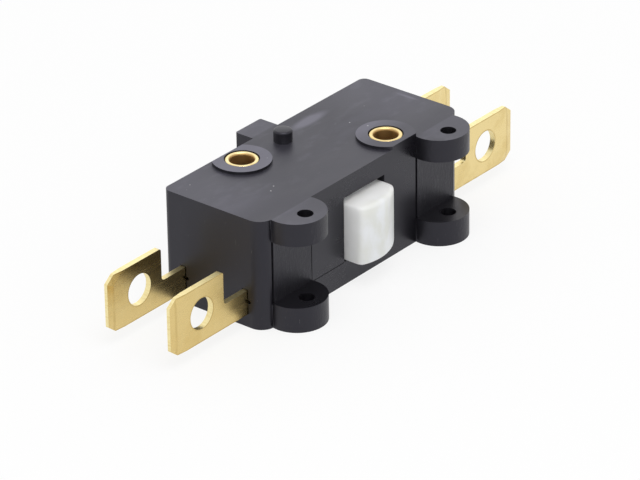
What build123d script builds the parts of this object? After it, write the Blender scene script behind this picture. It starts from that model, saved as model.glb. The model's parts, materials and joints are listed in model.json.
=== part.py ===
from build123d import *
import os

# Double-break snap-action switch, lying on its cover. Sizes are in millimetres.
# X runs along the tabs, -Y is the way the plunger sticks out, +Z is up.
# The origin is the middle of the flat underside.

# Case: a deep housing over a shallow cover, split at one level
case_length = 40.8
case_depth = 16.3
case_height = 15.4
cover_height = 3.3
end_wall = 1.4
side_wall = 1.4
roof = 1.6
floor = 1.2
front_corner = 2.0
back_corner = 1.0
cavity_corner = 0.5

# Lever lugs on the front face, two above and two below, with a raised panel between
lug_x = 14.7
lug_radius = 4.0
lug_lead = 0.78
upper_lug_thickness = 3.15
lower_lug_thickness = 3.5
pivot_lead = 2.3
pivot_radius = 1.05
panel_width = 7.5
panel_rise = 0.1
panel_groove_width = 0.25
panel_groove_depth = 0.2
seam_height = 0.1
seam_depth = 0.15

# Fixing eyelets on opposite corners, with their pads and bosses
eyelet_x = 8.4
eyelet_y = 5.1
eyelet_bore = 1.6
eyelet_wall = 0.35
eyelet_clearance = 0.05
rim_curl = 0.35
rim_sink = 0.03
pad_radius = 3.92
pad_height = 0.42
pad_inset = 0.55
boss_radius = 2.95
rim_recess_clearance = 0.02
spigot_radius = 2.5
spigot_height = 0.8
spigot_clearance = 0.1

# Spring block on the back face, and the locating pin on top
block_width = 5.05
block_reach = 2.95
block_corner = 0.25
block_wall = 0.9
pin_x = -0.6
pin_y = 4.7
pin_radius = 1.25
pin_height = 1.7
pin_dome = 0.1
pin_round = 0.3

# Plunger head, its slot and its travel
plunger_width = 8.14
plunger_reach = 3.4
plunger_lift = 0.1
crown_radius = 7.6
crown_offset = -0.8
crown_corner = 0.8
top_round = 0.3
bottom_round = 0.15
slot_clearance = 0.12
slot_headroom = 0.75
travel = 2.0

# Plunger inside the case: flange, stem and spring post
flange_overlap = 1.0
flange_thickness = 1.2
flange_clearance = 0.15
flange_headroom = 0.3
stem_width = 4.4
stem_height = 3.7
stem_end_y = 3.4
post_radius = 1.0
post_end_gap = 2.1

# Terminals: flat tabs that step inwards to the contacts
tab_thickness = 0.8
tab_width = 8.0
tab_length = 10.1
tab_y = 5.12
tab_bottom = 1.84
tab_hole_radius = 2.15
tab_hole_setback = 5.85
tab_corner_x = 1.25
tab_corner_z = 1.0
tab_bevel_length = 1.0
tab_bevel_depth = 0.16
arm_length = 4.6
arm_width = 3.4
arm_clearance = 0.1
shoulder_round = 0.35
shoulder_fillet = 0.5
relief_radius = 0.27
relief_depth = 0.5
relief_rise = 0.35
bend_radius = 0.9
jog_outer = 0.5
jog_run = 1.9
inner_edge = 0.2
inner_margin = 2.0
rest_clearance = 0.05
rest_width = 1.4
rest_length = 3.2

# Contacts and the moving bridge
contact_setback = 2.1
contact_gap = 1.0
contact_touch = 0.02
fixed_head_radius = 1.5
fixed_head_height = 1.0
moving_head_radius = 1.4
moving_head_height = 0.7
contact_dome = 0.15
shank_radius = 0.7
shank_clearance = 0.02
tail_radius = 1.05
tail_height = 0.35
bridge_thickness = 0.6
bridge_overhang = 2.0
bridge_arm_width = 4.4
bridge_rail = 1.35
bridge_end_web = 1.8
bridge_round = 0.8
window_end_x = 8.3
window_clearance = 0.3

# Snap springs between the plunger's anchor and the bridge
anchor_length = 6.0
anchor_thickness = 0.9
anchor_height = 2.2
anchor_y = -0.8
anchor_clearance = 0.02
notch_depth = 0.25
notch_width = 0.5
snap_thickness = 0.2
snap_rise = 1.4
snap_seat = 0.2

# Return spring behind the stem
coil_wire = 0.4
coil_radius = 1.45
coil_turns = 7
coil_clearance = 0.3
coil_seat = 0.05

# Levels and faces that follow from the sizes above
front_y = -case_depth / 2
back_y = case_depth / 2
cavity_front_y = front_y + side_wall
cavity_back_y = back_y - side_wall
cavity_end_x = case_length / 2 - end_wall
roof_z = case_height - roof
lug_bottom = case_height - upper_lug_thickness
pad_z = case_height + pad_height
lug_y = front_y - lug_lead
pivot_y = front_y - pivot_lead
slot_top = roof_z - flange_headroom - flange_overlap
slot_width = plunger_width + 2 * slot_clearance
plunger_bottom = cover_height + plunger_lift
plunger_height = slot_top - slot_headroom - plunger_bottom
axis_z = plunger_bottom + plunger_height / 2
block_y = back_y + block_reach
pocket_radius = coil_radius + coil_wire / 2 + coil_clearance
pocket_end_y = block_y - block_wall
post_length = pocket_end_y - stem_end_y - travel - post_end_gap
eyelet_points = [(-eyelet_x, eyelet_y), (eyelet_x, -eyelet_y)]
eyelet_hole = eyelet_bore + eyelet_wall + eyelet_clearance
rim_radius = eyelet_bore + 2 * rim_curl
rim_recess_radius = rim_radius + rim_recess_clearance
rim_recess_depth = rim_sink + rim_curl
arm_x = case_length / 2 + arm_length
tip_x = arm_x + tab_length
arm_top = tab_bottom + arm_width
inner_width = axis_z + fixed_head_radius + inner_edge - tab_bottom
jog_outer_x = cavity_end_x - jog_outer
jog_inner_x = jog_outer_x - jog_run
contact_x = jog_inner_x - contact_setback
inner_end_x = contact_x - inner_margin
bridge_rest_y = contact_gap / 2
moving_face_y = bridge_thickness / 2 + moving_head_height
fixed_face_y = bridge_rest_y + moving_face_y + contact_touch
inner_face_y = fixed_face_y + fixed_head_height
inner_y = inner_face_y + tab_thickness / 2
window_height = stem_height + 2 * window_clearance


def box_between(low, high):
    """Block between two corners, for the part being built."""
    size = [abs(b - a) for a, b in zip(low, high)]
    middle = tuple((a + b) / 2 for a, b in zip(low, high))
    with Locations(middle):
        Box(*size)


def shell_plan(plane):
    """Outline of the case seen from above, with the spring block on its back."""
    with BuildSketch(plane) as plan:
        Rectangle(case_length, case_depth)
        fillet(plan.vertices().group_by(Axis.Y)[0], front_corner)
        fillet(plan.vertices().group_by(Axis.Y)[-1], back_corner)
        with Locations((0, back_y)):
            Rectangle(block_width, 2 * block_reach)
        fillet(plan.vertices().group_by(Axis.Y)[-1], block_corner)
    return plan.sketch


def cavity_plan(plane):
    """Outline of the space inside the walls."""
    with BuildSketch(plane) as plan:
        Rectangle(2 * cavity_end_x, cavity_back_y - cavity_front_y)
        fillet(plan.vertices(), cavity_corner)
    return plan.sketch


def lug_plan(plane):
    """Two round lugs that stand out of the front face."""
    with BuildSketch(plane) as plan:
        with Locations((-lug_x, lug_y), (lug_x, lug_y)):
            Circle(lug_radius)
    return plan.sketch


def eyelet_circles(plane, radius):
    """One circle round each eyelet."""
    with BuildSketch(plane) as plan:
        with Locations(*eyelet_points):
            Circle(radius)
    return plan.sketch


def pivot_circles(plane):
    """The lever pivot holes in a pair of lugs."""
    with BuildSketch(plane) as plan:
        with Locations((-lug_x, pivot_y), (lug_x, pivot_y)):
            Circle(pivot_radius)
    return plan.sketch


def arm_slots(plane, low_z, high_z):
    """Slots in an end wall for the arms of the two terminals."""
    with BuildSketch(plane) as slots:
        with Locations((-tab_y, (low_z + high_z) / 2), (tab_y, (low_z + high_z) / 2)):
            Rectangle(tab_thickness + 2 * arm_clearance, high_z - low_z)
    return slots.sketch


def arm_reliefs(plane):
    """Small round nicks just above the split, in front of each arm."""
    nick = tab_thickness / 2 + arm_clearance + relief_radius / 2
    nick_z = cover_height + relief_rise
    with BuildSketch(plane) as reliefs:
        with Locations((-tab_y - nick, nick_z), (tab_y - nick, nick_z)):
            Circle(relief_radius)
    return reliefs.sketch


# Housing: roof, walls, upper lugs, pads, locating pin and spring block
split = Plane.XY.offset(cover_height)
with BuildPart() as housing:
    extrude(shell_plan(split), amount=case_height - cover_height)
    extrude(lug_plan(Plane.XY.offset(case_height)), amount=-upper_lug_thickness)
    extrude(cavity_plan(split), amount=roof_z - cover_height, mode=Mode.SUBTRACT)

    # Pads round the eyelets, cut flush at the front and a little inside the back face
    with BuildSketch(Plane.XY.offset(case_height)) as pads:
        with Locations(*eyelet_points):
            Circle(pad_radius)
        with Locations((0, -pad_inset / 2)):
            Rectangle(case_length, case_depth - pad_inset, mode=Mode.INTERSECT)
    extrude(amount=pad_height)
    extrude(eyelet_circles(split, boss_radius), amount=roof_z - cover_height)
    extrude(
        eyelet_circles(split, spigot_radius + spigot_clearance),
        amount=spigot_height + spigot_clearance,
        mode=Mode.SUBTRACT,
    )
    extrude(
        eyelet_circles(split, eyelet_hole),
        amount=pad_z - cover_height,
        mode=Mode.SUBTRACT,
    )
    extrude(
        eyelet_circles(Plane.XY.offset(pad_z), rim_recess_radius),
        amount=-rim_recess_depth,
        mode=Mode.SUBTRACT,
    )
    extrude(
        pivot_circles(Plane.XY.offset(case_height)),
        amount=-upper_lug_thickness,
        mode=Mode.SUBTRACT,
    )

    # Locating pin with a rounded, slightly domed end
    pin_plane = Plane(origin=(pin_x, pin_y, case_height), x_dir=(1, 0, 0), z_dir=(0, -1, 0))
    with BuildSketch(pin_plane) as pin_profile:
        with BuildLine():
            dome = TangentArc((0, pin_height), (pin_radius, pin_height - pin_dome), tangent=(1, 0))
            Polyline(dome @ 1, (pin_radius, 0), (0, 0), (0, pin_height))
        make_face()
        fillet(pin_profile.vertices().sort_by_distance(dome @ 1)[0], pin_round)
    revolve(axis=Axis(pin_plane.origin, (0, 0, 1)))

    # Plunger slot, open down to the split
    with BuildSketch(Plane.XZ.offset(-front_y)):
        with Locations((0, (cover_height + slot_top) / 2)):
            Rectangle(slot_width, slot_top - cover_height)
    extrude(amount=-side_wall, mode=Mode.SUBTRACT)

    # Raised matt panels that the side cores leave between the lugs, with a fine groove each side
    panel_height = lug_bottom - lower_lug_thickness
    panel_z = (lug_bottom + lower_lug_thickness) / 2
    groove_offset = (panel_width + panel_groove_width) / 2
    for middle_x in (-lug_x, lug_x):
        with Locations((middle_x, front_y, panel_z)):
            Box(panel_width, 2 * panel_rise, panel_height)
        with Locations(
            (middle_x - groove_offset, front_y, panel_z),
            (middle_x + groove_offset, front_y, panel_z),
        ):
            Box(panel_groove_width, 2 * panel_groove_depth, panel_height, mode=Mode.SUBTRACT)

    # Spring pocket through the back wall into the block
    with BuildSketch(Plane.XZ.offset(-cavity_back_y)):
        with Locations((0, axis_z)):
            Circle(pocket_radius)
        with Locations((0, (cover_height + axis_z) / 2)):
            Rectangle(2 * pocket_radius, axis_z - cover_height)
    extrude(amount=cavity_back_y - pocket_end_y, mode=Mode.SUBTRACT)

    # Slots and nicks for the terminal arms, and ribs over the terminals
    for end in (-1, 1):
        face = Plane.YZ.offset(end * case_length / 2)
        extrude(
            arm_slots(face, cover_height, arm_top + arm_clearance),
            amount=-end * end_wall,
            mode=Mode.SUBTRACT,
        )
        extrude(arm_reliefs(face), amount=-end * relief_depth, mode=Mode.SUBTRACT)
        for row in (-1, 1):
            box_between(
                (
                    end * inner_end_x,
                    row * (inner_y - rest_width / 2),
                    tab_bottom + inner_width + rest_clearance,
                ),
                (end * (inner_end_x + rest_length), row * (inner_y + rest_width / 2), roof_z),
            )
housing.part.label = "housing"

# Cover: floor, lower walls, lower lugs, spigots and the cradle under the spring
with BuildPart() as cover:
    extrude(shell_plan(Plane.XY), amount=cover_height)
    extrude(lug_plan(Plane.XY), amount=cover_height)
    extrude(
        lug_plan(split) - shell_plan(split),
        amount=lower_lug_thickness - cover_height,
    )
    extrude(
        cavity_plan(Plane.XY.offset(floor)),
        amount=cover_height - floor,
        mode=Mode.SUBTRACT,
    )
    extrude(eyelet_circles(Plane.XY.offset(floor), boss_radius), amount=cover_height - floor)
    extrude(eyelet_circles(split, spigot_radius), amount=spigot_height)
    extrude(
        eyelet_circles(Plane.XY, eyelet_hole),
        amount=cover_height + spigot_height,
        mode=Mode.SUBTRACT,
    )
    extrude(
        eyelet_circles(Plane.XY, rim_recess_radius),
        amount=rim_recess_depth,
        mode=Mode.SUBTRACT,
    )
    extrude(pivot_circles(Plane.XY), amount=lower_lug_thickness, mode=Mode.SUBTRACT)

    # Seam line along the front face, from the left lug to the plunger
    seam_start_x = panel_width / 2 - lug_x
    seam_end_x = -slot_width / 2
    with Locations(
        (
            (seam_start_x + seam_end_x) / 2,
            front_y + seam_depth / 2,
            cover_height - seam_height / 2,
        )
    ):
        Box(seam_end_x - seam_start_x, seam_depth, seam_height, mode=Mode.SUBTRACT)

    # Cradle that closes the spring pocket from below
    cradle_half = pocket_radius - spigot_clearance
    box_between(
        (-cradle_half, cavity_back_y, floor),
        (cradle_half, pocket_end_y - spigot_clearance, axis_z - pocket_radius / 2),
    )
    with BuildSketch(Plane.XZ.offset(-cavity_back_y)):
        with Locations((0, axis_z)):
            Circle(pocket_radius)
    extrude(amount=cavity_back_y - pocket_end_y, mode=Mode.SUBTRACT)

    # Seats for the terminals in the end walls and on the floor
    for end in (-1, 1):
        face = Plane.YZ.offset(end * case_length / 2)
        extrude(
            arm_slots(face, tab_bottom, cover_height),
            amount=-end * end_wall,
            mode=Mode.SUBTRACT,
        )
        for row in (-1, 1):
            box_between(
                (end * inner_end_x, row * (inner_y - rest_width / 2), floor),
                (
                    end * (inner_end_x + rest_length),
                    row * (inner_y + rest_width / 2),
                    tab_bottom - rest_clearance,
                ),
            )
cover.part.label = "cover"

# Plunger: crowned head, flange behind the front wall, stem and spring post
peak_y = front_y - plunger_reach
flange_front_y = cavity_front_y + flange_clearance
flange_back_y = flange_front_y + flange_thickness
flange_width = slot_width + 2 * flange_overlap
flange_low_z = cover_height - flange_overlap
flange_high_z = slot_top + flange_overlap
with BuildPart() as plunger:
    with BuildSketch(Plane.XY.offset(plunger_bottom)) as head:
        with Locations((0, (peak_y + flange_front_y) / 2)):
            Rectangle(plunger_width, flange_front_y - peak_y)
        with Locations((crown_offset, peak_y + crown_radius)):
            Circle(crown_radius, mode=Mode.INTERSECT)
        fillet(head.vertices().filter_by(lambda v: v.Y < front_y), crown_corner)
    extrude(amount=plunger_height)
    top_edges = plunger.faces().sort_by(Axis.Z)[-1].edges()
    fillet(top_edges.sort_by(Axis.Y)[:-1], top_round)
    bottom_edges = plunger.faces().sort_by(Axis.Z)[0].edges()
    fillet(bottom_edges.sort_by(Axis.Y)[:-1], bottom_round)
    box_between(
        (-flange_width / 2, flange_front_y, flange_low_z),
        (flange_width / 2, flange_back_y, flange_high_z),
    )
    box_between(
        (-stem_width / 2, flange_back_y, axis_z - stem_height / 2),
        (stem_width / 2, stem_end_y, axis_z + stem_height / 2),
    )
    with BuildSketch(Plane.XZ.offset(-stem_end_y)):
        with Locations((0, axis_z)):
            Circle(post_radius)
    extrude(amount=-post_length)
    with Locations((0, anchor_y, axis_z)):
        Box(
            stem_width,
            anchor_thickness + 2 * anchor_clearance,
            anchor_height + 2 * anchor_clearance,
            mode=Mode.SUBTRACT,
        )
plunger.part.label = "plunger"

# Spring anchor: steel bar through the stem, with a groove in each end
with BuildPart() as spring_anchor:
    with BuildSketch(Plane((0, anchor_y, axis_z - anchor_height / 2))):
        Rectangle(anchor_length, anchor_thickness)
        for end in (-1, 1):
            with BuildLine():
                Polyline(
                    (end * anchor_length / 2, -notch_width / 2),
                    (end * (anchor_length / 2 - notch_depth), 0),
                    (end * anchor_length / 2, notch_width / 2),
                    close=True,
                )
            make_face(mode=Mode.SUBTRACT)
    extrude(amount=anchor_height)
spring_anchor.part.label = "spring_anchor"


def eyelet(x, y, label):
    """Tubular brass eyelet, curled outwards in the recesses at both ends."""
    wall_plane = Plane(origin=(x, y, 0), x_dir=(1, 0, 0), z_dir=(0, -1, 0))
    curl_radius = eyelet_bore + rim_curl
    outer = eyelet_bore + eyelet_wall
    low = rim_recess_depth
    high = pad_z - rim_recess_depth
    with BuildPart() as tube:
        with BuildSketch(wall_plane):
            with BuildLine():
                Line((eyelet_bore, low), (eyelet_bore, high))
                ThreePointArc((eyelet_bore, high), (curl_radius, high + rim_curl), (rim_radius, high))
                Polyline((rim_radius, high), (outer, high), (outer, low), (rim_radius, low))
                ThreePointArc((rim_radius, low), (curl_radius, low - rim_curl), (eyelet_bore, low))
            make_face()
        revolve(axis=Axis((x, y, 0), (0, 0, 1)))
    tube.part.label = label
    return tube.part


def terminal(end, row, label):
    """Brass tab with a narrow arm through the wall and an inner plate stepped inwards."""
    with BuildPart() as strip:
        with BuildSketch(Plane.XY.offset(tab_bottom)):
            with BuildLine():
                FilletPolyline(
                    (end * tip_x, row * tab_y),
                    (end * jog_outer_x, row * tab_y),
                    (end * jog_inner_x, row * inner_y),
                    (end * inner_end_x, row * inner_y),
                    radius=bend_radius,
                )
            trace(line_width=tab_thickness)
        extrude(amount=max(tab_width, inner_width))
        with BuildSketch(Plane.XZ) as blank:
            with BuildLine():
                Polyline(
                    (end * inner_end_x, tab_bottom),
                    (end * (tip_x - tab_corner_x), tab_bottom),
                    (end * tip_x, tab_bottom + tab_corner_z),
                    (end * tip_x, tab_bottom + tab_width - tab_corner_z),
                    (end * (tip_x - tab_corner_x), tab_bottom + tab_width),
                    (end * arm_x, tab_bottom + tab_width),
                    (end * arm_x, arm_top),
                    (end * (cavity_end_x - arm_clearance), arm_top),
                    (end * (cavity_end_x - arm_clearance), tab_bottom + inner_width),
                    (end * inner_end_x, tab_bottom + inner_width),
                    close=True,
                )
            make_face()
            shoulder = [(end * arm_x, arm_top), (end * arm_x, tab_bottom + tab_width)]
            for corner, radius in zip(shoulder, (shoulder_fillet, shoulder_round)):
                fillet(blank.vertices().sort_by_distance(corner)[0], radius)
            with Locations((end * (tip_x - tab_hole_setback), tab_bottom + tab_width / 2)):
                Circle(tab_hole_radius, mode=Mode.SUBTRACT)
            with Locations((end * contact_x, axis_z)):
                Circle(shank_radius + shank_clearance, mode=Mode.SUBTRACT)
        extrude(amount=tab_y + tab_thickness, both=True, mode=Mode.INTERSECT)

        # Lead-in bevels on both faces, along the tip and its two cut corners
        for side in (-1, 1):
            level = row * tab_y + side * tab_thickness / 2
            flat = strip.faces().filter_by(Axis.Y).filter_by(
                lambda f: abs(f.center().Y - level) < tab_bevel_depth
            ).sort_by(Axis.X)[-1 if end > 0 else 0]
            lead_in = flat.outer_wire().edges().filter_by(
                lambda e: abs(e.center().X) > tip_x - tab_corner_x
            ).filter_by(lambda e: abs(e.tangent_at(0.5).X) < 0.99)
            chamfer(lead_in, tab_bevel_length, tab_bevel_depth, reference=flat)
    strip.part.label = label
    return strip.part


def fixed_contact(end, row, label):
    """Silver rivet on the inner plate of a terminal, domed towards the bridge."""
    seat = Plane(
        origin=(end * contact_x, row * inner_face_y, axis_z),
        x_dir=(1, 0, 0),
        z_dir=(0, 0, -row),
    )
    with BuildPart() as rivet:
        with BuildSketch(seat):
            with BuildLine():
                dome = TangentArc(
                    (0, fixed_head_height),
                    (fixed_head_radius, fixed_head_height - contact_dome),
                    tangent=(1, 0),
                )
                Polyline(
                    dome @ 1,
                    (fixed_head_radius, 0),
                    (shank_radius, 0),
                    (shank_radius, -tab_thickness),
                    (tail_radius, -tab_thickness),
                    (tail_radius, -tab_thickness - tail_height),
                    (0, -tab_thickness - tail_height),
                    (0, fixed_head_height),
                )
            make_face()
        revolve(axis=Axis(seat.origin, (0, 1, 0)))
    rivet.part.label = label
    return rivet.part


def moving_contact(end, label):
    """Double-headed silver rivet through one end of the bridge."""
    middle = Plane(
        origin=(end * contact_x, bridge_rest_y, axis_z), x_dir=(1, 0, 0), z_dir=(0, 0, 1)
    )
    with BuildPart() as rivet:
        with BuildSketch(middle):
            with BuildLine():
                top = TangentArc(
                    (0, moving_face_y),
                    (moving_head_radius, moving_face_y - contact_dome),
                    tangent=(1, 0),
                )
                Polyline(
                    top @ 1,
                    (moving_head_radius, bridge_thickness / 2),
                    (shank_radius, bridge_thickness / 2),
                    (shank_radius, -bridge_thickness / 2),
                    (moving_head_radius, -bridge_thickness / 2),
                    (moving_head_radius, contact_dome - moving_face_y),
                )
                TangentArc(
                    (0, -moving_face_y),
                    (moving_head_radius, contact_dome - moving_face_y),
                    tangent=(1, 0),
                )
                Line((0, -moving_face_y), (0, moving_face_y))
            make_face()
        revolve(axis=Axis(middle.origin, (0, 1, 0)))
    rivet.part.label = label
    return rivet.part


# Contact bridge: flat copper-alloy bar with a window round the plunger's stem
with BuildPart() as contact_bridge:
    with BuildSketch(Plane.XZ.offset(-bridge_rest_y)) as blank:
        with Locations((0, axis_z)):
            Rectangle(2 * (contact_x + bridge_overhang), bridge_arm_width)
            fillet(blank.vertices(), bridge_round)
            Rectangle(
                2 * (window_end_x + bridge_end_web),
                window_height + 2 * bridge_rail,
            )
            Rectangle(2 * window_end_x, window_height, mode=Mode.SUBTRACT)
        with Locations((-contact_x, axis_z), (contact_x, axis_z)):
            Circle(shank_radius + shank_clearance, mode=Mode.SUBTRACT)
    extrude(amount=bridge_thickness / 2, both=True)
    with BuildSketch(Plane.XY.offset(axis_z - window_height / 2)):
        for end in (-1, 1):
            with BuildLine():
                Polyline(
                    (end * window_end_x, bridge_rest_y - notch_width / 2),
                    (end * (window_end_x + notch_depth), bridge_rest_y),
                    (end * window_end_x, bridge_rest_y + notch_width / 2),
                    close=True,
                )
            make_face()
    extrude(amount=window_height, mode=Mode.SUBTRACT)
contact_bridge.part.label = "contact_bridge"


def snap_spring(end, label):
    """Bowed strip that pushes the bridge away from the plunger's anchor."""
    inner = (end * (anchor_length / 2 - notch_depth + snap_seat), anchor_y)
    outer = (end * (window_end_x + notch_depth - snap_seat), bridge_rest_y)
    middle_x = (inner[0] + outer[0]) / 2
    middle_y = (inner[1] + outer[1]) / 2 + end * snap_rise
    with BuildPart() as bow:
        with BuildSketch(Plane.XY.offset(axis_z - anchor_height / 2)):
            with BuildLine():
                ThreePointArc(inner, (middle_x, middle_y), outer)
            trace(line_width=snap_thickness)
        extrude(amount=anchor_height)
    bow.part.label = label
    return bow.part


# Return spring: round wire coil between the stem and the end of its pocket
coil_start_y = stem_end_y + coil_wire / 2 + coil_seat
coil_length = pocket_end_y - coil_wire / 2 - coil_seat - coil_start_y
with BuildPart() as return_spring:
    with BuildLine() as coil:
        Helix(
            pitch=coil_length / coil_turns,
            height=coil_length,
            radius=coil_radius,
            center=(0, coil_start_y, axis_z),
            direction=(0, 1, 0),
        )
    with BuildSketch(Plane(origin=coil.line @ 0, z_dir=coil.line % 0)):
        Circle(coil_wire / 2)
    sweep(path=coil.line)
return_spring.part.label = "return_spring"

pieces = [
    housing.part,
    cover.part,
    plunger.part,
    spring_anchor.part,
    contact_bridge.part,
    return_spring.part,
    eyelet(*eyelet_points[0], "eyelet_back"),
    eyelet(*eyelet_points[1], "eyelet_front"),
    moving_contact(-1, "moving_contact_left"),
    moving_contact(1, "moving_contact_right"),
    snap_spring(-1, "snap_spring_left"),
    snap_spring(1, "snap_spring_right"),
]
for end, side_name in ((-1, "left"), (1, "right")):
    for row, circuit in ((1, "closed"), (-1, "open")):
        pieces.append(terminal(end, row, f"terminal_{circuit}_{side_name}"))
        pieces.append(fixed_contact(end, row, f"fixed_contact_{circuit}_{side_name}"))

os.makedirs("parts", exist_ok=True)
for piece in pieces:
    export_step(piece, f"parts/{piece.label}.step")
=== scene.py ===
"""Looks, light and camera of the micro switch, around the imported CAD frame."""
import json
import math
import bmesh
import bpy
from mathutils import Matrix, Vector


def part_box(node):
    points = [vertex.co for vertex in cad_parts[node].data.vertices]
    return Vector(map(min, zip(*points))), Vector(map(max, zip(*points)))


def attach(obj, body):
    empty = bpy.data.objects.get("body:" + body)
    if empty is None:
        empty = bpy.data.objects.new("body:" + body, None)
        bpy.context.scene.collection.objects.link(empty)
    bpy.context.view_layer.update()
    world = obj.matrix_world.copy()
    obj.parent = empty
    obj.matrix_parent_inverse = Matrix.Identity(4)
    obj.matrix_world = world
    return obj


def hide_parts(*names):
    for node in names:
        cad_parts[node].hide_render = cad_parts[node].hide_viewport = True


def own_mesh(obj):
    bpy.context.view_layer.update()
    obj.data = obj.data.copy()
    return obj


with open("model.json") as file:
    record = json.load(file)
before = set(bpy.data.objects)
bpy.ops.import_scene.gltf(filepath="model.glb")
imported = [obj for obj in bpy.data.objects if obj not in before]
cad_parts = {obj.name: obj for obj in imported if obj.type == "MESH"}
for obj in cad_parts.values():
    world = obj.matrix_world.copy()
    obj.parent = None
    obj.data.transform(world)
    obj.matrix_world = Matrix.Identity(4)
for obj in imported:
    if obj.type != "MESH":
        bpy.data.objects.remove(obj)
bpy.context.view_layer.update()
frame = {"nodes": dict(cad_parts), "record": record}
nodes = frame["nodes"]
MM = 0.001

# Sizes of the CAD part that the looks follow, in millimetres
CASE_FRONT = -8.15
CASE_BACK = 8.15
CASE_TOP = 15.4
SIDE_WALL = 1.4
PAD_TOP = 15.82
LUG_X = 14.7
PANEL_HALF_WIDTH = 3.75
PANEL_RISE = 0.1
PLUNGER_FRONT = -11.55
TAB_MIDDLE_Z = 5.84
TAB_HALF_WIDTH = 4.0
TAB_BEVEL_X = 34.1
TAB_HOLE_X = 29.25
TAB_HOLE_RADIUS = 2.15
EYELET_X = 8.4
EYELET_Y = 5.1
EYELET_BORE = 1.6

# Colours, as linear red, green and blue
BLACK_BODY = (0.006, 0.0056, 0.0072)
# Pale dust and painted sheen on the top faces
BLACK_DUST_AND_SHEEN = (0.108, 0.105, 0.134)
BLACK_SCUFF = (0.30, 0.30, 0.31)
BLACK_DUST = (0.45, 0.45, 0.46)
# Paler lines on the panels: grain with painted glints
BLACK_RIDGE_GLINT = (0.20, 0.20, 0.21)
BLACK_GLOSS = (0.85, 0.84, 1.0)
WHITE_WARM = (0.745, 0.755, 0.72)
WHITE_COOL = (0.83, 0.85, 0.875)
# Painted light on the plunger's head behind its front face
WHITE_HEAD_PAINTED_LIGHT = (0.97, 0.98, 0.955)
# Painted shade on the plunger inside the case
WHITE_PAINTED_SHADE_INSIDE = (0.80, 0.83, 0.80)
TAB_CLEAR = (0.84, 0.675, 0.32)
TAB_STAIN = (0.75, 0.58, 0.25)
TAB_STREAK = (0.88, 0.75, 0.42)
# Painted shade on the tabs at the left end
TAB_LEFT_SHADE = (0.63, 0.455, 0.165)
# Painted shade line along the tabs' edges
TAB_EDGE_SHADE = (0.52, 0.37, 0.13)
# Sheared edges: paler metal and painted highlight
TAB_CUT_AND_HIGHLIGHT = (0.90, 0.78, 0.42)
TAB_CUT_DARK = (0.78, 0.62, 0.28)
RIM_CLEAR = (0.93, 0.78, 0.42)
RIM_STAIN = (0.85, 0.66, 0.30)
# Painted shade on the front eyelet
RIM_FRONT_SHADE = (0.78, 0.57, 0.24)
# Duller metal and painted shade in the eyelets' bore
RIM_BORE_DULL_AND_SHADE = (0.53, 0.35, 0.15)
SILVER = (0.90, 0.90, 0.88)
SILVER_DARK = (0.74, 0.74, 0.72)
COPPER = (0.82, 0.52, 0.34)
COPPER_DARK = (0.66, 0.38, 0.24)
STEEL = (0.66, 0.67, 0.69)
STEEL_DARK = (0.50, 0.51, 0.53)
FLOOR = (0.9, 0.9, 0.9)
WHITE = (1, 1, 1)

# The photograph, in pixels, and the camera's sensor, in millimetres
IMAGE_WIDTH = 640
IMAGE_HEIGHT = 480
SENSOR_WIDTH = 36


# Node helpers
class Graph:
    """Short calls that build the node tree of a material or of the world."""

    def __init__(self, owner, output):
        owner.use_nodes = True
        self.owner = owner
        self.tree = owner.node_tree
        self.tree.nodes.clear()
        self.out = self.node(output)

    def node(self, kind, **props):
        new = self.tree.nodes.new(kind)
        for key, value in props.items():
            setattr(new, key, value)
        return new

    def put(self, socket, value):
        """Links another node's output to the socket, or sets the socket's own value."""
        if isinstance(value, bpy.types.NodeSocket):
            self.tree.links.new(value, socket)
        elif socket.type == "RGBA" and len(value) == 3:
            socket.default_value = (*value, 1)
        else:
            socket.default_value = value

    def chain(self, node, values):
        """Fills the node's first inputs in order and returns its first output."""
        for socket, value in zip(node.inputs, values):
            self.put(socket, value)
        return node.outputs[0]

    def math(self, op, *values):
        return self.chain(self.node("ShaderNodeMath", operation=op), values)

    def add(self, first, *rest):
        for value in rest:
            first = self.math("ADD", first, value)
        return first

    def sub(self, a, b):
        return self.math("SUBTRACT", a, b)

    def abs(self, value):
        return self.math("ABSOLUTE", value)

    def mul(self, first, *rest):
        for value in rest:
            first = self.math("MULTIPLY", first, value)
        return first

    def blend(self, share, first, second):
        """Sends a mix of two shaders to the tree's output."""
        mixed = self.chain(self.node("ShaderNodeMixShader"), (share, first, second))
        self.put(self.out.inputs[0], mixed)

    def seen(self, direct, bounced):
        """Share of plain white for the camera and for gloss and glass, and 0 for all other light."""
        rays = self.node("ShaderNodeLightPath").outputs
        bounces = self.math("MAXIMUM", rays["Is Glossy Ray"], rays["Is Transmission Ray"])
        return self.math("MAXIMUM", self.mul(rays["Is Camera Ray"], direct), self.mul(bounces, bounced))


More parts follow.
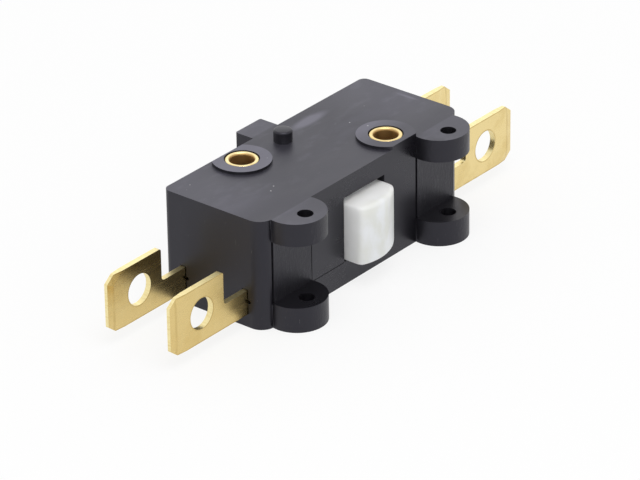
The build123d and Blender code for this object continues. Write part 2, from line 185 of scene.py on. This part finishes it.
class Looks(Graph):
    """A material's tree, with the place on the CAD part at hand in millimetres."""

    def __init__(self, name):
        super().__init__(bpy.data.materials.new(name), "ShaderNodeOutputMaterial")
        place = self.node("ShaderNodeTexCoord").outputs["Object"]
        self.mm = self.vector("MULTIPLY", place, (1 / MM, 1 / MM, 1 / MM))
        self.x, self.y, self.z = self.split(self.mm)

    def split(self, vector):
        parts = self.node("ShaderNodeSeparateXYZ")
        self.put(parts.inputs[0], vector)
        return parts.outputs

    def facing(self):
        """The surface's true direction, along X, Y and Z."""
        return self.split(self.node("ShaderNodeNewGeometry").outputs["True Normal"])

    def vector(self, op, *values):
        new = self.node("ShaderNodeVectorMath", operation=op)
        first = self.chain(new, values)
        return new.outputs["Value"] if op == "LENGTH" else first

    def reach(self, across, along):
        """Distance from the axis where both lengths are 0."""
        return self.math("SQRT", self.add(self.math("POWER", across, 2.0), self.math("POWER", along, 2.0)))

    def step(self, value, lo, hi, a=0.0, b=1.0):
        """a below lo, b above hi, and a soft change between."""
        new = self.node("ShaderNodeMapRange", interpolation_type="SMOOTHSTEP")
        return self.chain(new, (value, lo, hi, a, b))

    def below(self, value, lo, hi):
        """1 below lo, 0 above hi, and a soft change between."""
        return self.step(value, lo, hi, 1.0, 0.0)

    def noise(self, scale, detail, stretch=(1, 1, 1), rough=0.5, swirl=0.0):
        """Cloudy pattern from 0 to 1, in forms of about 1 / scale millimetres, which stretch narrows."""
        new = self.node("ShaderNodeTexNoise")
        self.put(new.inputs["Vector"], self.vector("MULTIPLY", self.mm, stretch))
        new.inputs["Scale"].default_value = scale
        new.inputs["Detail"].default_value = detail
        new.inputs["Roughness"].default_value = rough
        new.inputs["Distortion"].default_value = swirl
        return new.outputs["Fac"]

    def specks(self, scale, size):
        """1 on sparse round dots, in about one cell of eight, and 0 elsewhere."""
        new = self.node("ShaderNodeTexVoronoi", feature="F1")
        self.put(new.inputs["Vector"], self.mm)
        new.inputs["Scale"].default_value = scale
        near = self.below(new.outputs["Distance"], size * 0.6, size)
        pick = self.node("ShaderNodeSeparateColor")
        self.put(pick.inputs[0], new.outputs["Color"])
        return self.mul(near, self.step(pick.outputs[0], 0.86, 0.9))

    def spot(self, middle, reach):
        """1 at a point of the top view, falling softly to 0 at the given reach along X and Y."""
        away = self.vector("SUBTRACT", self.mm, (*middle, 0))
        flat = self.vector("MULTIPLY", away, (1 / reach[0], 1 / reach[1], 0))
        return self.below(self.vector("LENGTH", flat), 0.2, 1.0)

    def mix(self, share, a, b):
        # The node's colour inputs are 6 and 7, and its colour output is 2
        new = self.node("ShaderNodeMix", data_type="RGBA")
        self.put(new.inputs[0], share)
        self.put(new.inputs[6], a)
        self.put(new.inputs[7], b)
        return new.outputs[2]

    def bump(self, height, distance, strength):
        """Relief of the given distance in millimetres."""
        new = self.node("ShaderNodeBump")
        new.inputs["Strength"].default_value = strength
        new.inputs["Distance"].default_value = distance * MM
        self.put(new.inputs["Height"], height)
        return new.outputs[0]

    def shade(self, **values):
        new = self.node("ShaderNodeBsdfPrincipled")
        for key, value in values.items():
            self.put(new.inputs[key.replace("_", " ")], value)
        self.put(self.out.inputs[0], new.outputs[0])
        return self.owner


# Materials
def rough_panels(g, from_middle, forward):
    """1 on the raised panels between the lugs, 0 elsewhere."""
    inner = LUG_X - PANEL_HALF_WIDTH
    outer = LUG_X + PANEL_HALF_WIDTH
    face = CASE_FRONT - PANEL_RISE
    across = g.mul(g.step(from_middle, inner - 0.05, inner + 0.05),
                   g.below(from_middle, outer - 0.05, outer + 0.05))
    raised = g.below(g.y, face + 0.01, face + 0.05)
    return g.mul(across, raised, g.below(forward, -0.95, -0.9))


def dust_and_painted_sheen(g, cloud, from_middle, dull):
    """Pale dust and painted sheen on the top: thicker at the ends, on the pads and on the block, thin
    along the front.
    """
    clouds = g.step(cloud, 0.5, 0.72, 0.0, 0.6)
    patches = g.step(g.noise(0.5, 4, (0.7, 1.3, 1)), 0.5, 0.75, 0.0, 0.6)
    ends = g.step(from_middle, 8.0, 18.0, 0.0, 0.75)
    pads = g.mul(g.step(g.z, CASE_TOP + 0.2, CASE_TOP + 0.35), g.step(from_middle, 3.0, 3.5), 2.6)
    block = g.step(g.y, CASE_BACK - 0.05, CASE_BACK + 0.45)
    # Painted sheen: a soft pale streak near the middle of the back
    painted_sheen_streak = g.mul(g.spot(middle=(5.9, 5.7), reach=(4.6, 1.25)), 3.6)
    end_streak = g.mul(g.spot(middle=(19.35, -0.1), reach=(0.4, 2.4)), 1.8)
    dust_and_sheen = g.add(clouds, patches, ends, pads, block, painted_sheen_streak, end_streak)
    # Less of the dust and painted sheen along the front edge of the top
    less_along_front = g.mul(g.below(g.y, -6.5, -1.0), g.step(g.y, CASE_FRONT - 0.15, CASE_FRONT + 0.05))
    dust_and_sheen = g.mul(dust_and_sheen, g.sub(1.0, g.mul(less_along_front, 0.85)))
    return g.mul(dull, g.add(g.mul(dust_and_sheen, 0.28), 0.20))


def black_plastic():
    """Moulded black: dark body, soft violet-grey sheen, pale dust and painted sheen on the top, and rough
    panels between the lugs with painted glints on their lines.
    """
    g = Looks("black_plastic_looks")
    sideways, forward, upward = g.facing()
    from_middle = g.abs(g.x)
    cloud = g.noise(0.16, 4, (0.6, 1.4, 1))
    top = g.mul(g.step(upward, 0.6, 0.9), g.step(g.z, 13.0, 14.0))
    dull = g.mul(top, g.below(g.z, PAD_TOP + 0.08, PAD_TOP + 0.18))
    panel = rough_panels(g, from_middle, forward)
    lines = g.noise(0.9, 4, (1.9, 1, 0.6), rough=0.65, swirl=1.6)
    grain = g.noise(2.4, 3, rough=0.6)
    scuff = g.step(g.noise(0.9, 2, (1, 5, 1)), 0.72, 0.78)

    # Top faces: pale dust and painted sheen over the black body
    base = g.mix(dust_and_painted_sheen(g, cloud, from_middle, dull), BLACK_BODY, BLACK_DUST_AND_SHEEN)
    base = g.mix(g.mul(scuff, 0.1), base, BLACK_SCUFF)
    base = g.mix(g.mul(g.specks(scale=0.8, size=0.1), top, 0.9), base, BLACK_DUST)
    # Panels between the lugs: paler grain lines, partly painted glints
    base = g.mix(g.mul(panel, g.step(lines, 0.55, 0.75, 0.0, 0.12)), base, BLACK_RIDGE_GLINT)

    rough = g.add(g.step(cloud, 0.3, 0.7, 0.27, 0.34),
                  g.mul(panel, 0.10),
                  g.step(g.abs(sideways), 0.3, 0.8, 0.0, 0.14),
                  g.mul(dull, 0.11),
                  g.mul(g.sub(g.noise(5.0, 2), 0.5), 0.06))
    height = g.add(g.mul(grain, 0.3), g.mul(panel, g.add(g.mul(lines, 3.0), grain)))
    return g.shade(Base_Color=base, Roughness=rough, IOR=1.5, Specular_Tint=BLACK_GLOSS,
                   Normal=g.bump(height, distance=0.03, strength=0.5))


def white_plastic():
    """Milky moulding that lets some light through, with painted light on the head behind its front face
    and painted shade inside the case.
    """
    g = Looks("white_plastic_looks")
    cloud = g.noise(0.35, 4, (1, 1, 0.6))
    base = g.mix(g.step(cloud, 0.35, 0.65), WHITE_WARM, WHITE_COOL)
    # Painted light: the head is paler behind its front face
    painted_light_behind_front = g.step(g.y, PLUNGER_FRONT - 0.05, PLUNGER_FRONT + 2.15, 0.0, 0.95)
    base = g.mix(painted_light_behind_front, base, WHITE_HEAD_PAINTED_LIGHT)
    wall_inside = CASE_FRONT + SIDE_WALL
    # Painted shade: greyer inside the case
    base = g.mix(g.step(g.y, wall_inside - 0.15, wall_inside + 0.35), base, WHITE_PAINTED_SHADE_INSIDE)
    return g.shade(Base_Color=base, Roughness=g.step(g.noise(1.2, 3), 0.3, 0.7, 0.28, 0.4), IOR=1.46,
                   Subsurface_Weight=0.8, Subsurface_Radius=(1.0, 1.0, 1.0), Subsurface_Scale=0.003,
                   Normal=g.bump(g.noise(1.1, 3), distance=0.03, strength=0.35))


def tab_edge_shade(g, cut):
    """Strength of the painted shade line along the tabs' outer edges, holes and end bevels."""
    from_middle = g.abs(g.x)
    height = g.sub(g.z, TAB_MIDDLE_Z)
    from_axis = g.reach(g.sub(from_middle, TAB_HOLE_X), height)
    from_hole = g.abs(g.sub(from_axis, TAB_HOLE_RADIUS))
    from_sides = g.abs(g.sub(TAB_HALF_WIDTH, g.abs(height)))
    from_bevel = g.abs(g.sub(from_middle, TAB_BEVEL_X))
    outline = g.below(g.math("MINIMUM", from_hole, from_sides), 0.08, 0.26)
    shade_line = g.math("MAXIMUM", outline, g.step(from_bevel, 0.06, 0.3, 0.6, 0.0))
    uneven = g.step(g.noise(0.7, 3), 0.3, 0.6, 0.3, 0.75)
    return g.mul(shade_line, uneven, g.sub(1.0, cut))


def tab_brass():
    """Rolled strip: smooth faces with soft stains, painted shade lines along the borders, rough sheared
    edges that are paler partly as a painted highlight, and painted shade towards the left end.
    """
    g = Looks("tab_brass_looks")
    forward = g.facing()[1]
    cut = g.below(g.abs(forward), 0.6, 0.9)
    rolled = g.noise(0.8, 2, (0.15, 1, 1.5))
    streak = g.noise(0.55, 3, (1.3, 1, 0.4))
    sheared = g.noise(5.0, 3, (1, 0.15, 1))
    stain = g.noise(0.28, 4, rough=0.6)

    base = g.mix(g.step(stain, 0.42, 0.72), TAB_CLEAR, TAB_STAIN)
    base = g.mix(g.step(streak, 0.55, 0.75, 0.0, 0.35), base, TAB_STREAK)
    # Painted shade, darker towards the left end
    base = g.mix(g.step(g.x, -20.0, 20.0, 0.5, 0.0), base, TAB_LEFT_SHADE)
    # Painted shade along the edges, holes and end bevels
    base = g.mix(tab_edge_shade(g, cut), base, TAB_EDGE_SHADE)
    # Sheared edges: paler metal and painted highlight, with darker grain
    base = g.mix(cut, base, g.mix(g.step(sheared, 0.4, 0.8), TAB_CUT_AND_HIGHLIGHT, TAB_CUT_DARK))
    rough = g.add(g.step(rolled, 0.3, 0.7, 0.23, 0.28), g.mul(cut, 0.12))
    height = g.add(g.mul(rolled, 0.3), g.mul(cut, sheared))
    return g.shade(Base_Color=base, Metallic=1.0, Roughness=rough,
                   Normal=g.bump(height, distance=0.002, strength=0.25))


def eyelet_brass():
    """Drawn and curled tube: bright rim, painted shade in deeper yellow on the front eyelet, and duller
    metal with painted shade in the bore.
    """
    g = Looks("eyelet_brass_looks")
    across = g.sub(g.abs(g.x), EYELET_X)
    along = g.add(g.mul(g.y, g.math("SIGN", g.x)), EYELET_Y)
    bore = g.below(g.reach(across, along), EYELET_BORE + 0.08, EYELET_BORE + 0.16)
    drawn = g.noise(1.2, 3, (1, 1, 0.2))
    base = g.mix(g.step(drawn, 0.35, 0.75), RIM_CLEAR, RIM_STAIN)
    # Painted shade: the front eyelet deeper yellow
    base = g.mix(g.step(g.x, -1.0, 1.0, 0.0, 0.5), base, RIM_FRONT_SHADE)
    # Bore: duller metal and painted shade
    base = g.mix(bore, base, RIM_BORE_DULL_AND_SHADE)
    rough = g.add(g.step(drawn, 0.3, 0.7, 0.2, 0.28), g.mul(bore, 0.24))
    return g.shade(Base_Color=base, Metallic=1.0, Roughness=rough,
                   Normal=g.bump(drawn, distance=0.004, strength=0.3))


def satin_metal(name, light, dark, rough, scale, stretch):
    """Metal of the inner pieces, brushed along one way."""
    g = Looks(name)
    brushed = g.noise(scale, 4, stretch)
    return g.shade(Base_Color=g.mix(g.step(brushed, 0.3, 0.75), light, dark), Metallic=1.0,
                   Roughness=g.step(brushed, 0.3, 0.7, rough, rough + 0.1),
                   Normal=g.bump(brushed, distance=0.006, strength=0.4))


MATERIALS = {
    "black_plastic": black_plastic(),
    "white_plastic": white_plastic(),
    "tab_brass": tab_brass(),
    "eyelet_brass": eyelet_brass(),
    "contact_silver": satin_metal("contact_silver_looks", SILVER, SILVER_DARK, rough=0.25,
                                  scale=3.0, stretch=(1, 0.4, 1)),
    "bridge_copper": satin_metal("bridge_copper_looks", COPPER, COPPER_DARK, rough=0.28,
                                 scale=2.0, stretch=(0.15, 1, 1)),
    "spring_steel": satin_metal("spring_steel_looks", STEEL, STEEL_DARK, rough=0.25,
                                scale=2.5, stretch=(0.3, 1, 1)),
}
slot_of = {part["node"]: part["material_slot"] for part in frame["record"]["subparts"]}
for name, obj in nodes.items():
    obj.data.materials.clear()
    obj.data.materials.append(MATERIALS[slot_of[name]])


# Softer edges and forms
def convex_weights(sharpest):
    """Node group that marks only the outward edges sharper than an angle in degrees, for the bevel."""
    group = bpy.data.node_groups.new("convex_edges", "GeometryNodeTree")
    for way in ("INPUT", "OUTPUT"):
        group.interface.new_socket("Geometry", in_out=way, socket_type="NodeSocketGeometry")
    into = group.nodes.new("NodeGroupInput")
    out = group.nodes.new("NodeGroupOutput")
    angle = group.nodes.new("GeometryNodeInputMeshEdgeAngle")
    sharp = group.nodes.new("FunctionNodeCompare")
    sharp.data_type = "FLOAT"
    sharp.operation = "LESS_THAN"
    sharp.inputs[1].default_value = -math.radians(sharpest)
    keep = group.nodes.new("GeometryNodeStoreNamedAttribute")
    keep.data_type = "FLOAT"
    keep.domain = "EDGE"
    keep.inputs["Name"].default_value = "bevel_weight_edge"
    group.links.new(angle.outputs["Signed Angle"], sharp.inputs[0])
    group.links.new(into.outputs[0], keep.inputs["Geometry"])
    group.links.new(sharp.outputs[0], keep.inputs["Value"])
    group.links.new(keep.outputs[0], out.inputs[0])
    return group


def soften(names, width, marked):
    """Small moulding or shearing radius on the outward edges; it only ever cuts inwards."""
    for name in names:
        weld = nodes[name].modifiers.new("weld", "WELD")
        weld.merge_threshold = 0.001 * MM
        marks = nodes[name].modifiers.new("convex", "NODES")
        marks.node_group = marked
        bevel = nodes[name].modifiers.new("edges", "BEVEL")
        bevel.width = width * MM
        bevel.segments = 2
        bevel.limit_method = "WEIGHT"
        bevel.use_clamp_overlap = True
        bevel.harden_normals = True


def round_off(name, voxel, passes):
    """Soft moulded form with no sharp edge, a little inside the CAD one."""
    even = nodes[name].modifiers.new("even", "REMESH")
    even.mode = "VOXEL"
    even.voxel_size = voxel * MM
    even.use_smooth_shade = True
    smooth = nodes[name].modifiers.new("smooth", "SMOOTH")
    smooth.factor = 0.5
    smooth.iterations = passes


outward = convex_weights(sharpest=32)
soften(["housing", "cover"], width=0.1, marked=outward)
soften([name for name in nodes if name.startswith("terminal")], width=0.07, marked=outward)
round_off("plunger", voxel=0.14, passes=40)


# Return spring: steps to a turn, sides of the round wire, and the closed turns' pitch in wires
COIL_STEPS = 28
WIRE_SIDES = 12
CLOSED_PITCH = 1.05


def coil_levels(lo, hi, wire, turns):
    """The wire's middle along Y, step by step: its end turns almost touch and the others lie open."""
    count = turns * COIL_STEPS
    weights = [min(1.0, i / COIL_STEPS, (count - i) / COIL_STEPS) ** 2 for i in range(count)]
    closed = CLOSED_PITCH * wire / COIL_STEPS
    opened = (hi - lo - wire - closed * count) / sum(weights)
    levels = [lo + wire / 2]
    for weight in weights:
        levels.append(levels[-1] + (closed + opened * weight))
    return levels


def coil_mesh(levels, mid_x, mid_z, radius, wire):
    """Closed tube along the coil, with a flat face at each end."""
    verts = []
    for i, level in enumerate(levels):
        turn = 2 * math.pi * i / COIL_STEPS
        for k in range(WIRE_SIDES):
            round_wire = 2 * math.pi * k / WIRE_SIDES
            reach = radius + wire / 2 * math.cos(round_wire)
            verts.append((mid_x + reach * math.cos(turn), level + wire / 2 * math.sin(round_wire),
                          mid_z + reach * math.sin(turn)))
    faces = [tuple(range(WIRE_SIDES)), tuple(range(len(verts) - WIRE_SIDES, len(verts)))]
    for start in range(0, len(verts) - WIRE_SIDES, WIRE_SIDES):
        for k in range(WIRE_SIDES):
            a, b = start + k, start + (k + 1) % WIRE_SIDES
            faces.append((a, b, b + WIRE_SIDES, a + WIRE_SIDES))
    mesh = bpy.data.meshes.new("return_coil")
    mesh.from_pydata(verts, [], faces)
    whole = bmesh.new()
    whole.from_mesh(mesh)
    bmesh.ops.recalc_face_normals(whole, faces=whole.faces)
    whole.to_mesh(mesh)
    whole.free()
    mesh.shade_smooth()
    return mesh


def coil_spring(node, wire, turns):
    """Closed-end coil in the place of the CAD one. It rests on the pocket's end."""
    lo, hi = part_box(node)
    mid_x, mid_z = (lo[0] + hi[0]) / 2, (lo[2] + hi[2]) / 2
    radius = (hi[0] - lo[0] - wire) / 2
    mesh = coil_mesh(coil_levels(lo[1], hi[1], wire, turns), mid_x, mid_z, radius, wire)
    mesh.materials.append(MATERIALS["spring_steel"])
    coil = bpy.data.objects.new("return_coil", mesh)
    bpy.context.scene.collection.objects.link(coil)
    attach(coil, "case")
    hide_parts(node)
    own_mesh(coil)


coil_spring("return_spring", wire=0.4 * MM, turns=7)


# Floor and backdrop
def floor_material():
    """Pale grey that takes the object's shadow, and mostly plain white where it is looked at."""
    g = Graph(bpy.data.materials.new("floor_looks"), "ShaderNodeOutputMaterial")
    plain = g.node("ShaderNodeBsdfDiffuse")
    g.put(plain.inputs["Color"], FLOOR)
    white = g.node("ShaderNodeEmission")
    g.put(white.inputs["Strength"], 1.0)
    g.blend(g.seen(direct=0.8, bounced=0.65), plain.outputs[0], white.outputs[0])
    return g.owner


def pale_floor(radius, drop):
    """Round floor in metres, so little below the underside that the two surfaces don't coincide."""
    bpy.ops.mesh.primitive_circle_add(vertices=64, radius=radius, fill_type="NGON", location=(0, 0, -drop))
    floor = bpy.context.object
    floor.name = "floor"
    floor.data.materials.append(floor_material())


pale_floor(radius=3.0, drop=0.02 * MM)


# World and lamps
def world_light(ambient):
    """Even white light all round, and plain white where the camera, gloss or glass looks into it."""
    world = bpy.data.worlds.new("studio")
    g = Graph(world, "ShaderNodeOutputWorld")
    soft, white = (g.node("ShaderNodeBackground") for _ in range(2))
    for shader, strength in ((soft, ambient), (white, 1.0)):
        g.put(shader.inputs["Color"], WHITE)
        g.put(shader.inputs["Strength"], strength)
    g.blend(g.seen(direct=1.0, bounced=1.0), soft.outputs[0], white.outputs[0])
    bpy.context.scene.world = world


def softbox(name, place, aim, size, radiance):
    """Rectangular area lamp of a given brightness per area; its lengths are in millimetres."""
    data = bpy.data.lights.new(name, "AREA")
    data.shape = "RECTANGLE"
    data.size = size[0] * MM
    data.size_y = size[1] * MM
    data.energy = radiance * math.pi * data.size * data.size_y
    lamp = bpy.data.objects.new(name, data)
    bpy.context.scene.collection.objects.link(lamp)
    lamp.location = Vector(place) * MM
    lamp.rotation_mode = "QUATERNION"
    lamp.rotation_quaternion = (Vector(aim) - Vector(place)).to_track_quat("-Z", "Y")


world_light(ambient=0.70)
softbox("key_top", place=(-100, -150, 600), aim=(0, 0, 0), size=(420, 420), radiance=2.8)
softbox("back_right", place=(380, 330, 330), aim=(0, 0, 8), size=(520, 420), radiance=0.3)
softbox("front_left", place=(-420, -520, 300), aim=(0, 0, 8), size=(320, 260), radiance=0.45)


# Camera at the photograph's angle
def photo_camera(azimuth, elevation, roll, distance, focal, pixel, aim):
    """Camera solved from the photograph's straight edges and circles.

    Angles are in degrees, the distance and the point aimed at in millimetres, the focal length in pixels.
    The point aimed at appears at the given pixel, with no lens shift.
    """
    az, el, ro = (math.radians(angle) for angle in (azimuth, elevation, roll))
    back = Vector((math.sin(az) * math.cos(el), -math.cos(az) * math.cos(el), math.sin(el)))
    right = Vector((math.cos(az), math.sin(az), 0))
    up = back.cross(right)
    right, up = right * math.cos(ro) + up * math.sin(ro), up * math.cos(ro) - right * math.sin(ro)
    off_x = (pixel[0] - IMAGE_WIDTH / 2) / focal
    off_y = (IMAGE_HEIGHT / 2 - pixel[1]) / focal
    place = Vector(aim) + distance * (back - right * off_x - up * off_y)
    data = bpy.data.cameras.new("photo_camera")
    data.sensor_fit = "HORIZONTAL"
    data.sensor_width = SENSOR_WIDTH
    data.lens = SENSOR_WIDTH * focal / IMAGE_WIDTH
    data.clip_start = 0.01
    data.clip_end = 20
    camera = bpy.data.objects.new("photo_camera", data)
    bpy.context.scene.collection.objects.link(camera)
    camera.matrix_world = Matrix.Translation(place * MM) @ Matrix((right, up, back)).transposed().to_4x4()
    bpy.context.scene.camera = camera


photo_camera(azimuth=-50.692, elevation=27.852, roll=-0.835, distance=565.189, focal=4367.095,
             pixel=(314.243, 202.035), aim=(-0.1, 0.05, 7.7))
bpy.context.scene.view_settings.view_transform = "Standard"
